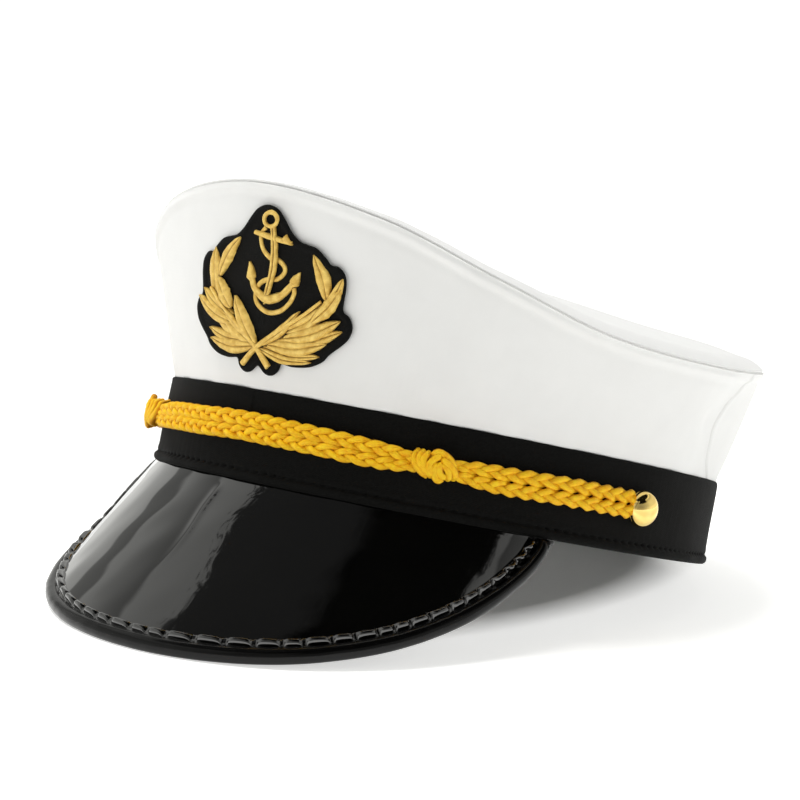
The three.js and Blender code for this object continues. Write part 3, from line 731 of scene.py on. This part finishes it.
def binding():
    """The rolled binding, with a row of stitched lozenges along its inner edge."""
    fine = np.sin(np.linspace(-1, 1, 1201) * math.pi / 2)
    length = line_length(visor_edge(fine))
    count = 900
    at = np.linspace(0, length[-1], count)
    along = np.interp(at, length, fine)
    outward, normal = edge_frame(along)
    rng = np.random.default_rng(61)
    sizes = rng.uniform(0.8, 1.22, int(length[-1] / LOZENGE_PITCH) + 4) * LOZENGE_PITCH
    number = np.arange(len(sizes)) / len(sizes)
    sizes = sizes * np.interp(number, [0.4, 0.55], [1.3, 1.0])
    breaks = np.cumsum(np.concatenate([[0], sizes]))
    index = np.searchsorted(breaks, at, side="right") - 1
    into = (at - breaks[index]) / (breaks[index + 1] - breaks[index])
    fullness = rng.uniform(0.75, 1.15, len(breaks))[index]
    profile = np.clip(1 - np.abs(2.44 * (into - 0.5)) ** 4, 0, 1) ** 0.8 * fullness * (1 - 0.25 * into)
    stitched = smoothstep(-0.85, -0.6, along)
    profile = profile * stitched + 0.8 * (1 - stitched)
    lean = 0.25 * (into - 0.5)
    half = BINDING_WIDTH / 2
    thick = BINDING_THICKNESS / 2
    section = [(-half + out + lean * strength, rise - 0.3 + 1.5 * strength * profile)
               for out, rise, strength in LOZENGE_ROW]
    roll_turn = np.linspace(math.radians(148), math.radians(-148), ROLL_SIDES)
    roll_out = half - thick * 1.02 + np.cos(roll_turn) * thick * 1.02
    section += list(zip(roll_out, np.sin(roll_turn) * thick))
    section += [(-half + out, rise) for out, rise in LOWER_SIDE]
    out, up = (np.stack([np.broadcast_to(corner[axis], count) for corner in section], 1) for axis in (0, 1))
    up = up + 0.8 * np.maximum(up, 0) * smoothstep(0.74, 0.92, np.abs(along))[:, None]
    base = visor_edge(along) - outward * half
    points = base[:, None] + outward[:, None] * out[..., None] + normal[:, None] * up[..., None]
    wobble = 0.07 * undulation(points, 22, 63) + 0.02 * undulation(points, 7, 65)
    points = points + (normal[:, None] + outward[:, None]) * wobble[..., None]
    points[..., 2] = np.minimum(points[..., 2], UNDER_BAND)
    table = (points[..., 1] * math.sin(REST_PITCH) - REST_Z) / math.cos(REST_PITCH)
    points[..., 2] = np.maximum(points[..., 2], table + 0.03)
    return sweep(points)


def on_lozenges(faces):
    return [int(min(face) % BINDING_SIDES < len(LOZENGE_ROW)) for face in faces]


# Braid

BRAID_ANGLES = np.linspace(-2.2, 2.2, 4001)


def braid_lengths():
    """Lengths along the band from its front, at BRAID_ANGLES."""
    length = line_length(band_point(BRAID_ANGLES, 0, 0))
    return length - np.interp(0, BRAID_ANGLES, length)


def length_to_angle(distance):
    return np.interp(distance, braid_lengths(), BRAID_ANGLES)


def angle_to_length(angle):
    return np.interp(angle, BRAID_ANGLES, braid_lengths())


def cord(start, finish, above, phase):
    """Three strands plaited into one flat cord, from one length along the band to another."""
    knot = angle_to_length(KNOT_ANGLE)
    count = int((finish - start) / 0.42)
    at = np.linspace(start, finish, count)
    angle = length_to_angle(at)
    near_knot = np.exp(-np.maximum(np.abs(np.abs(at) - knot) - KNOT_LENGTH / 2, 0) / 6.0)
    pinch = 1 - 0.42 * near_knot
    rise = np.where(np.abs(angle) < KNOT_ANGLE, np.cos(math.pi * angle / (2 * KNOT_ANGLE)) ** 2, 0)
    middle = BRAID_HEIGHT + BRAID_RISE * rise + above * CORD_SPACING / 2 * pinch
    middle = middle + 0.22 * undulation(vector(at, above * 3, 0), 30, 71)
    normal = band_normal(angle)
    parts = []
    swing = (CORD_HALF_WIDTH - STRAND_WIDTH / 2) * 1.05
    drift = 0.45 * undulation(vector(at, above * 7, 5), 40, 73)
    for strand in range(3):
        turn = 2 * math.pi * (at / PLAIT_PERIOD + strand / 3) + phase + drift
        across = swing * pinch * np.sin(turn) * above
        depth = 0.8 * np.sin(2 * turn)
        path = band_point(angle, 2.15 + depth, middle + across)
        width = STRAND_WIDTH * (0.75 + 0.25 * pinch) * (1 + 0.05 * np.sin(at * 1.9 + strand * 2))
        sections = tube(path, width, STRAND_DEPTH, normal, STRAND_SIDES)
        parts.append(sweep(lobed(path, sections, 3, 0.07, at * 1.25)))
    return parts


def knot_strand(corners, layer):
    """A strand of the knot over its dome: along the band, up and outwards."""
    flat = smooth_line(np.array(corners, float) * 0.9, 46)
    share = np.linspace(0, 1, len(flat))
    dome = np.sqrt(np.clip(1 - np.sum((flat / KNOT_DOME) ** 2, axis=1), 0, 1))
    ends = smoothstep(0, 0.16, share) * smoothstep(1, 0.84, share)
    depth = 1.5 + 3.9 * dome + layer * 0.55 - KNOT_TUCK * (1 - ends)
    path = np.column_stack([flat, depth])
    width = KNOT_STRAND_WIDTH * (0.72 + 0.28 * ends)
    outward = np.tile([0.0, 0.0, 1.0], (len(path), 1))
    sections = tube(path, width, width * 0.86, outward, STRAND_SIDES)
    return lobed(path, sections, 4, 0.06, share * 9)


# Strands of a knot, in the order in which they lie on each other
KNOT_STRANDS = [
    ([(-7.0, 5.2), (-7.9, 2.4), (-7.0, -0.4), (-4.6, -2.6), (-2.2, -4.3)], 0.2),
    ([(-5.0, 5.3), (-6.0, 2.6), (-5.2, 0.0), (-3.4, -2.0), (-1.6, -3.6)], 0.5),
    ([(-2.9, 5.1), (-4.3, 2.6), (-3.9, 0.0), (-2.4, -2.2), (-0.9, -4.0)], 0.8),
    ([(1.6, 4.6), (-0.6, 3.0), (-2.0, 0.6), (-1.7, -1.9), (-0.6, -4.0)], 1.3),
    ([(0.6, 1.6), (-0.2, -0.6), (0.2, -3.0), (1.7, -4.7), (3.6, -4.3)], 0.9),
    ([(2.2, 2.0), (1.4, 0.0), (1.9, -2.0), (3.2, -3.2), (4.6, -3.2)], 1.0),
    ([(-1.8, 3.9), (0.2, 5.6), (2.6, 5.1), (4.6, 3.7), (6.3, 1.9), (7.4, 0.4)], 1.3),
    ([(1.5, 3.3), (4.0, 2.2), (6.2, 0.6), (7.6, -1.6), (7.6, -3.6)], 1.6),
    ([(2.0, 1.3), (4.3, 0.0), (5.4, -1.9), (5.6, -4.0)], 0.8),
]


def knot(side):
    size = NEAR_KNOT_SIZE if side > 0 else FAR_KNOT_SIZE
    parts = []
    distance = side * angle_to_length(KNOT_ANGLE)
    ring = full_turn(24)
    turn = np.linspace(0, math.pi, 16)[1:-1, None]
    thick = np.sin(turn)
    core = vector(-6.2 * np.cos(turn), 4.2 * thick * np.cos(ring), 2.8 + 2.4 * thick * np.sin(ring))
    for sections in [core] + [knot_strand(corners, layer) for corners, layer in KNOT_STRANDS]:
        local = sections * np.array([size, size, 1])
        angle = length_to_angle(distance + side * local[..., 0])
        parts.append(sweep(band_point(angle, local[..., 2], BRAID_HEIGHT + local[..., 1])))
    return parts


def button(side):
    angle = side * (BUTTON_ANGLE - BUTTON_TURN)
    normal = band_normal(np.array(angle))
    up = np.array([0, 0, 1.0])
    aside = np.cross(up, normal)
    base = band_point(np.array(angle), 0.0, BRAID_HEIGHT - BUTTON_DROP)
    turn = np.linspace(0, math.pi / 2, 20)[:-1]
    outline = [(0.02, 0.3), (2.4, 0.3), (2.4, 1.4), (BUTTON_RADIUS - 0.6, 1.7), (BUTTON_RADIUS - 0.12, 1.9),
               (BUTTON_RADIUS, 2.2), (BUTTON_RADIUS - 0.08, 2.45)]
    outline += [((BUTTON_RADIUS - 0.12) * math.cos(t), 2.55 + 4.2 * math.sin(t)) for t in turn]
    outline.append((0.02, 6.76))
    ring = full_turn(64)
    around = aside * np.cos(ring)[:, None] + up * np.sin(ring)[:, None]
    return [sweep(np.stack([base + normal * rise + radius * around for radius, rise in outline]))]


# Badge

PATCH_OUTLINE = [
    (0, 1.0), (0.12, 0.98), (0.21, 0.925), (0.29, 0.865), (0.38, 0.82), (0.47, 0.805), (0.58, 0.79),
    (0.68, 0.745), (0.74, 0.71), (0.82, 0.705), (0.89, 0.66), (0.905, 0.59), (0.895, 0.51), (0.9, 0.46),
    (0.96, 0.435), (1.0, 0.38), (0.975, 0.315), (0.9, 0.26), (0.8, 0.205), (0.73, 0.155), (0.6, 0.115),
    (0.43, 0.1), (0.29, 0.105), (0.25, 0.06), (0.18, 0.03), (0.1, 0.035), (0, 0.075),
]
# Leaves by the places of their root and tip and their half width, from the top down
LEFT_LEAVES = [
    (-0.65, 0.47, -0.68, 0.74, 0.088), (-0.59, 0.58, -0.32, 0.81, 0.07), (-0.39, 0.40, -0.60, 0.57, 0.085),
    (-0.36, 0.35, -0.85, 0.495, 0.07), (-0.36, 0.31, -0.92, 0.45, 0.072), (-0.11, 0.24, -0.67, 0.375, 0.10),
    (-0.10, 0.22, -0.50, 0.36, 0.09), (-0.02, 0.20, -0.335, 0.47, 0.085),
    (-0.12, 0.22, -0.735, 0.265, 0.066), (-0.04, 0.19, -0.69, 0.205, 0.072),
]
RIGHT_LEAVES = [
    (0.75, 0.51, 0.57, 0.76, 0.076), (0.74, 0.46, 0.885, 0.65, 0.052), (0.62, 0.38, 0.885, 0.59, 0.07),
    (0.34, 0.30, 0.78, 0.495, 0.085), (0.33, 0.26, 0.90, 0.41, 0.08), (0.16, 0.22, 0.925, 0.35, 0.08),
    (0.13, 0.21, 0.78, 0.265, 0.08), (0.04, 0.20, 0.48, 0.43, 0.052), (0.08, 0.19, 0.72, 0.185, 0.055),
    (0.03, 0.18, 0.64, 0.145, 0.048),
]
STEM = [(-0.17, 0.08), (0, 0.185), (0.26, 0.30), (0.51, 0.405), (0.70, 0.505)]
ROPE = [
    (0.0, 0.88), (-0.05, 0.845), (-0.055, 0.805), (-0.015, 0.75), (0.08, 0.707), (0.175, 0.7), (0.25, 0.67),
    (0.255, 0.632), (0.18, 0.592), (0.085, 0.586), (-0.01, 0.565), (-0.065, 0.527), (-0.08, 0.466),
    (-0.02, 0.42), (0.1, 0.393), (0.24, 0.412), (0.34, 0.465), (0.385, 0.52), (0.38, 0.555),
]


def patch():
    half = np.array(PATCH_OUTLINE)
    mirrored = half[1:-1][::-1] * np.array([-1, 1])
    outline = smooth_line(np.concatenate([half, mirrored]), 320, True)
    middle = np.array([0, 0.42])
    section = [(0.02, 0.1), (0.5, 0.1), (0.97, 0.1), (1.0, 0.35), (1.012, 0.8), (1.008, 1.25),
               (0.995, 1.6), (0.975, 1.72), (0.95, 1.68), (0.93, 1.55), (0.915, 1.42), (0.9, 1.34)]
    section += [(share, 1.3) for share in (0.86, 0.7, 0.5, 0.3, 0.1, 0.02)]
    stations = []
    for corner in outline:
        flat = middle + (corner - middle) * np.array([[share] for share, _ in section])
        stations.append(badge_point(flat[:, 0], flat[:, 1], np.array([rise for _, rise in section])))
    return [sweep(np.array(stations), True)]


def satin(corners, half_widths, layer, crease=0.0, full=1.25, loop=False, seed=0):
    """A raised band of satin stitches along a line on the badge, with its ridges across it."""
    scale = np.array([BADGE_HALF_WIDTH, BADGE_HEIGHT])
    corners = np.array(corners, float) * scale
    rough = smooth_line(corners, 60, loop)
    total = line_length(rough)[-1]
    count = max(int(total / (THREAD_PITCH / 4)), 12)
    line = smooth_line(corners, count, loop)
    if loop:
        direction = unit(np.roll(line, -1, 0) - np.roll(line, 1, 0))
    else:
        direction = unit(np.gradient(line, axis=0))
    side = np.column_stack([-direction[:, 1], direction[:, 0]])
    share = np.linspace(0, 1, count)
    half = half_widths(share)
    rng = np.random.default_rng(seed + 100)
    tremble = np.interp(share, np.linspace(0, 1, 12), rng.normal(0, 0.05, 12))
    sides = np.linspace(-1, 1, 11)
    ridges = 0.5 + 0.5 * np.cos(2 * math.pi * share * total / THREAD_PITCH)
    height = full * np.clip(half / 1.6, 0.45, 1) ** 0.7
    arch = np.sqrt(np.clip(1 - sides**2, 0, 1)) ** 0.8
    rise = height[:, None] * (arch[None, :] - crease * hump(sides, 0, 0.16)[None, :])
    rise = rise + 0.06 * ridges[:, None] * arch[None, :]
    across = sides[None, :] * (half * (1 + tremble))[:, None]
    across = across + 0.03 * ridges[:, None] * np.sign(sides)[None, :]
    base = 1.2 + layer * 0.2
    flat = (line[:, None] + side[:, None] * across[..., None]) / scale
    top = badge_point(flat[..., 0], flat[..., 1], base + rise)
    bottom = badge_point(flat[:, ::-1, 0], flat[:, ::-1, 1], np.full(rise.shape, base - 0.25))
    return sweep(np.concatenate([top, bottom[:, 1:-1]], 1), loop)


def laurel():
    parts = []
    shape = {0: 0.32, 0.2: 0.8, 0.5: 1, 0.85: 0.58, 1: 0.08}
    for turned, leaves in ((1, RIGHT_LEAVES), (-1, LEFT_LEAVES)):
        parts.append(satin([(x * turned, y) for x, y in STEM], lambda share: 0.95 * (1 - share / 2), 6,
                           seed=turned + 3))
        for number, (root_x, root_y, tip_x, tip_y, breadth) in enumerate(leaves):
            bend = np.array([tip_y - root_y, (root_x - tip_x) * 0.6]) * 0.07 * turned
            middle = ((root_x + tip_x) / 2 + bend[0], (root_y + tip_y) / 2 + bend[1])
            line = [(root_x, root_y), middle, (tip_x, tip_y)]

            def half(share, breadth=breadth):
                return breadth * BADGE_HALF_WIDTH * hermite(shape, share, False)

            parts.append(satin(line, half, (number * 2) % 5, 0.5, seed=number + 10 * turned + 20))
    return parts


def anchor():
    ring = [(0.07 + 0.078 * math.sin(turn), 0.93 + 0.04 * math.cos(turn)) for turn in full_turn(12)]

    def thin_ends(width, thinning):
        return lambda share: width / 2 * (1 - thinning * np.abs(2 * share - 1))

    def fluke(share):
        return 1.65 * hermite({0: 0.3, 0.25: 1, 1: 0.07}, share, False)

    return [
        satin(ROPE, thin_ends(1.5, 0), 0, full=1.0, seed=1),
        satin([(-0.14, 0.6), (-0.085, 0.527), (0.065, 0.474), (0.23, 0.497), (0.35, 0.565), (0.385, 0.6)],
              thin_ends(3.0, 0.5), 2, 0.15, seed=2),
        satin([(0.075, 0.5), (0.06, 0.465), (0.045, 0.44)], lambda share: 1.3 - 1.2 * share, 1, seed=3),
        satin([(0.365, 0.565), (0.4, 0.605), (0.44, 0.65)], fluke, 1, 0.1, seed=4),
        satin([(-0.145, 0.565), (-0.15, 0.615), (-0.175, 0.675)], fluke, 1, 0.1, seed=5),
        satin([(-0.12, 0.847), (0.105, 0.826), (0.33, 0.806)], thin_ends(1.9, 0.35), 3, seed=6),
        satin([(0.245, 0.837), (0.29, 0.818), (0.34, 0.8)], lambda share: 1.15 - 1.0 * share, 4, seed=9),
        satin([(0.1, 0.9), (0.135, 0.78), (0.14, 0.68), (0.125, 0.61), (0.08, 0.5)],
              thin_ends(2.5, 0.25), 4, 0.8, seed=7),
        satin(ring, thin_ends(1.25, 0), 5, full=1.0, loop=True, seed=8),
    ]


# Scene

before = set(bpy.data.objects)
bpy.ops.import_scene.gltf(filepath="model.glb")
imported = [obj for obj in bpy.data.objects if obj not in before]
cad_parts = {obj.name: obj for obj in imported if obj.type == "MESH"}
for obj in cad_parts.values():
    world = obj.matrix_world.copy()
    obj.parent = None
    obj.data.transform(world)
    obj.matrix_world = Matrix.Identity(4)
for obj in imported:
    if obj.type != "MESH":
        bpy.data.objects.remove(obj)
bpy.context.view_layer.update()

WHITE = white_cloth()
BLACK = black_cloth()
CORD = gold_cord()
THREAD = gold_thread()
BRASS = brass()

for panel, body in (("front", crown_wall(False)), ("back", crown_wall(True)), ("top", crown_top())):
    add_piece(f"crown_{panel}_cloth", [body], WHITE, [f"crown_{panel}"])
add_piece("band_cloth", [band()], BLACK, ["band"])
add_piece("band_hem_stitches", band_stitches(), black_thread())
add_piece("visor_patent", [visor()], patent(), ["visor"])
add_piece("visor_binding_roll", [binding()], patent_binding(), ["visor_binding"],
          on_lozenges, patent("stitched_patent", 1.0))

knot_at = angle_to_length(KNOT_ANGLE)
button_at = angle_to_length(BUTTON_ANGLE)
inner_end = knot_at - KNOT_LENGTH / 2 + CORD_INTO_KNOT
outer_start = knot_at + KNOT_LENGTH / 2 - CORD_INTO_KNOT
outer_end = button_at - BUTTON_RADIUS + CORD_INTO_BUTTON
for row, above in (("upper", 1), ("lower", -1)):
    for stretch, start, finish, phase in (("front", -inner_end, inner_end, 0.4),
                                          ("left", outer_start, outer_end, 1.1),
                                          ("right", -outer_end, -outer_start, 2.3)):
        add_piece(f"plait_{row}_{stretch}", cord(start, finish, above, phase), CORD,
                  [f"braid_{row}_{stretch}"])
for side_name, side in (("left", 1), ("right", -1)):
    add_piece(f"knot_{side_name}", knot(side), CORD, [f"braid_knot_{side_name}"])
    add_piece(f"button_dome_{side_name}", button(side), BRASS, [f"button_{side_name}"])
add_piece("badge_patch_cloth", patch(), patch_cloth(), ["badge_patch"])
add_piece("badge_anchor_thread", anchor(), THREAD, ["badge_anchor"])
add_piece("badge_laurel_thread", laurel(), THREAD, ["badge_laurel"])


# Table, light and camera

def floor():
    mesh = bpy.data.meshes.new("table_top")
    half = TABLE_HALF_SIZE
    corners = [(-half, -half, 0), (half, -half, 0), (half, half, 0), (-half, half, 0)]
    mesh.from_pydata(corners, [], [(0, 1, 2, 3)])
    table = bpy.data.objects.new("table_top", mesh)
    bpy.context.scene.collection.objects.link(table)
    # The glow makes the table as bright as a lit backdrop, and leaves a dark oval under the cap as a
    # painted shadow
    look = Look("table_white", Roughness=0.9, Base_Color=(0.9, 0.9, 0.89, 1), Specular_IOR_Level=0.1,
                Emission_Strength=1.0)
    far = look.node("VectorMath", {0: look.place()}, operation="LENGTH").outputs["Value"]
    far_glow = look.shade(far, (0, 0, 0), (0.3, 0.3, 0.297), 0.2, 0.8)
    # Painted shadow: no glow inside the oval under the cap, full glow round it, fading further out
    painted_shadow_oval = look.node("Mapping", {"Vector": look.place(), "Location": PAINTED_SHADOW_SHIFT, "Scale": PAINTED_SHADOW_SCALE})
    beside = look.node("VectorMath", {0: painted_shadow_oval.outputs[0]}, operation="LENGTH").outputs["Value"]
    near_glow = look.shade(beside, (0, 0, 0), (TABLE_GLOW, TABLE_GLOW, TABLE_GLOW * 0.99), 0.275, 0.375)
    fading = look.shade(beside, (1, 1, 1), (0.2, 0.2, 0.2), 0.65, 0.95)
    ring = blend(look.tree, "MULTIPLY", near_glow, fading)
    look.into("Emission Color", blend(look.tree, "ADD", ring, far_glow))
    mesh.materials.append(look.material)


def soft_light(name, azimuth, elevation, strength):
    """A broad soft light from a side, which shows in no gloss."""
    light = bpy.data.lights.new(name, "SUN")
    light.energy = strength
    light.angle = LIGHT_SPREAD
    holder = bpy.data.objects.new(name, light)
    holder.rotation_euler = (math.radians(90 - elevation), 0, math.radians(azimuth))
    holder.visible_glossy = False
    bpy.context.scene.collection.objects.link(holder)


def studio():
    """White walls with faint joints up to a dark ceiling, dimmer on the camera's side."""
    world = bpy.data.worlds.new("studio")
    world.use_nodes = True
    tree = world.node_tree
    way = tree.nodes.new("ShaderNodeTexCoord").outputs["Generated"]

    def ramp(value, stops):
        made = add_node(tree, "ValToRGB", {"Fac": value})
        elements = made.color_ramp.elements
        while len(elements) < len(stops):
            elements.new(0.5)
        for element, (position, level) in zip(elements, stops):
            element.position = position
            element.color = (level, level, level * 0.99, 1)
        return made.outputs[0]

    def toward(x, y, z):
        """How far each direction goes along a given one."""
        inputs = {0: way, 1: (x, y, z)}
        return add_node(tree, "VectorMath", inputs, operation="DOT_PRODUCT").outputs["Value"]

    def roughened(noise, amount, value):
        inputs = {0: noise, 1: amount, 2: value}
        return add_node(tree, "Math", inputs, operation="MULTIPLY_ADD").outputs[0]

    soft = add_node(tree, "TexNoise", {"Vector": way, "Scale": 4.0, "Detail": 2.0}).outputs["Fac"]
    fine_grain = {"Vector": way, "Scale": 52.0, "Detail": 8.0, "Roughness": 0.62}
    ragged = add_node(tree, "TexNoise", fine_grain).outputs["Fac"]
    rise = toward(0, 0, 1)
    walls = ramp(roughened(soft, 0.05, rise), WALL_LEVELS)

    # The ceiling comes lower in a corner at the camera's right
    corner = ramp(roughened(ragged, 0.16, toward(0.35, -1.0, 0.25)), [(0.395, 0.0), (0.41, 1.0)])
    at_right = ramp(toward(1, 0, 0), [(0.45, 0.0), (0.5, 0.2)])
    joint = roughened(ragged, RAGGEDNESS, toward(0.078, 0, 1))
    start = CEILING_START + RAGGEDNESS / 2
    below_ceiling = ramp(roughened(corner, at_right, joint),
                         [(start - 0.009, 1.0), (start + 0.003, CEILING_LEVEL)])

    # A grey post stands between the panels, and ends above the horizon
    post = ramp(roughened(soft, 0.03, toward(-0.5, -0.5, 0.5)),
                [(0.50, 1.0), (0.512, 0.42), (0.60, 0.42), (0.612, 1.0)])
    post = blend(tree, "LIGHTEN", post, ramp(rise, [(0.12, 1.0), (0.25, 0.0)]))

    camera_side = ramp(toward(math.sin(CAMERA_SIDE), -math.cos(CAMERA_SIDE), 0),
                       [(0.3, 1.0), (0.95, CAMERA_SIDE_LEVEL)])
    haze = ramp(roughened(ragged, 0.08, toward(-0.24, -0.19, 0.95)), [(0.955, 0.0), (1.05, 0.085)])
    level = walls
    for part in (below_ceiling, post, camera_side):
        level = blend(tree, "MULTIPLY", level, part)
    background = tree.nodes["Background"]
    tree.links.new(blend(tree, "ADD", level, haze), background.inputs["Color"])
    background.inputs["Strength"].default_value = WALL_STRENGTH
    bpy.context.scene.world = world
    bpy.context.scene.view_settings.view_transform = "Standard"
    for name, light in SOFT_LIGHTS.items():
        soft_light(name, *light)


def camera():
    data = bpy.data.cameras.new("camera")
    data.lens = CAMERA_LENS
    data.sensor_width = CAMERA_SENSOR
    data.clip_end = 30
    eye = bpy.data.objects.new("camera", data)
    axes = zip(CAMERA_RIGHT, CAMERA_UP, CAMERA_FORWARD, CAMERA_AT)
    rows = [(right, up, -forward, at) for right, up, forward, at in axes]
    eye.matrix_world = Matrix(rows + [(0, 0, 0, 1)])
    bpy.context.scene.collection.objects.link(eye)
    bpy.context.scene.camera = eye


floor()
studio()
camera()
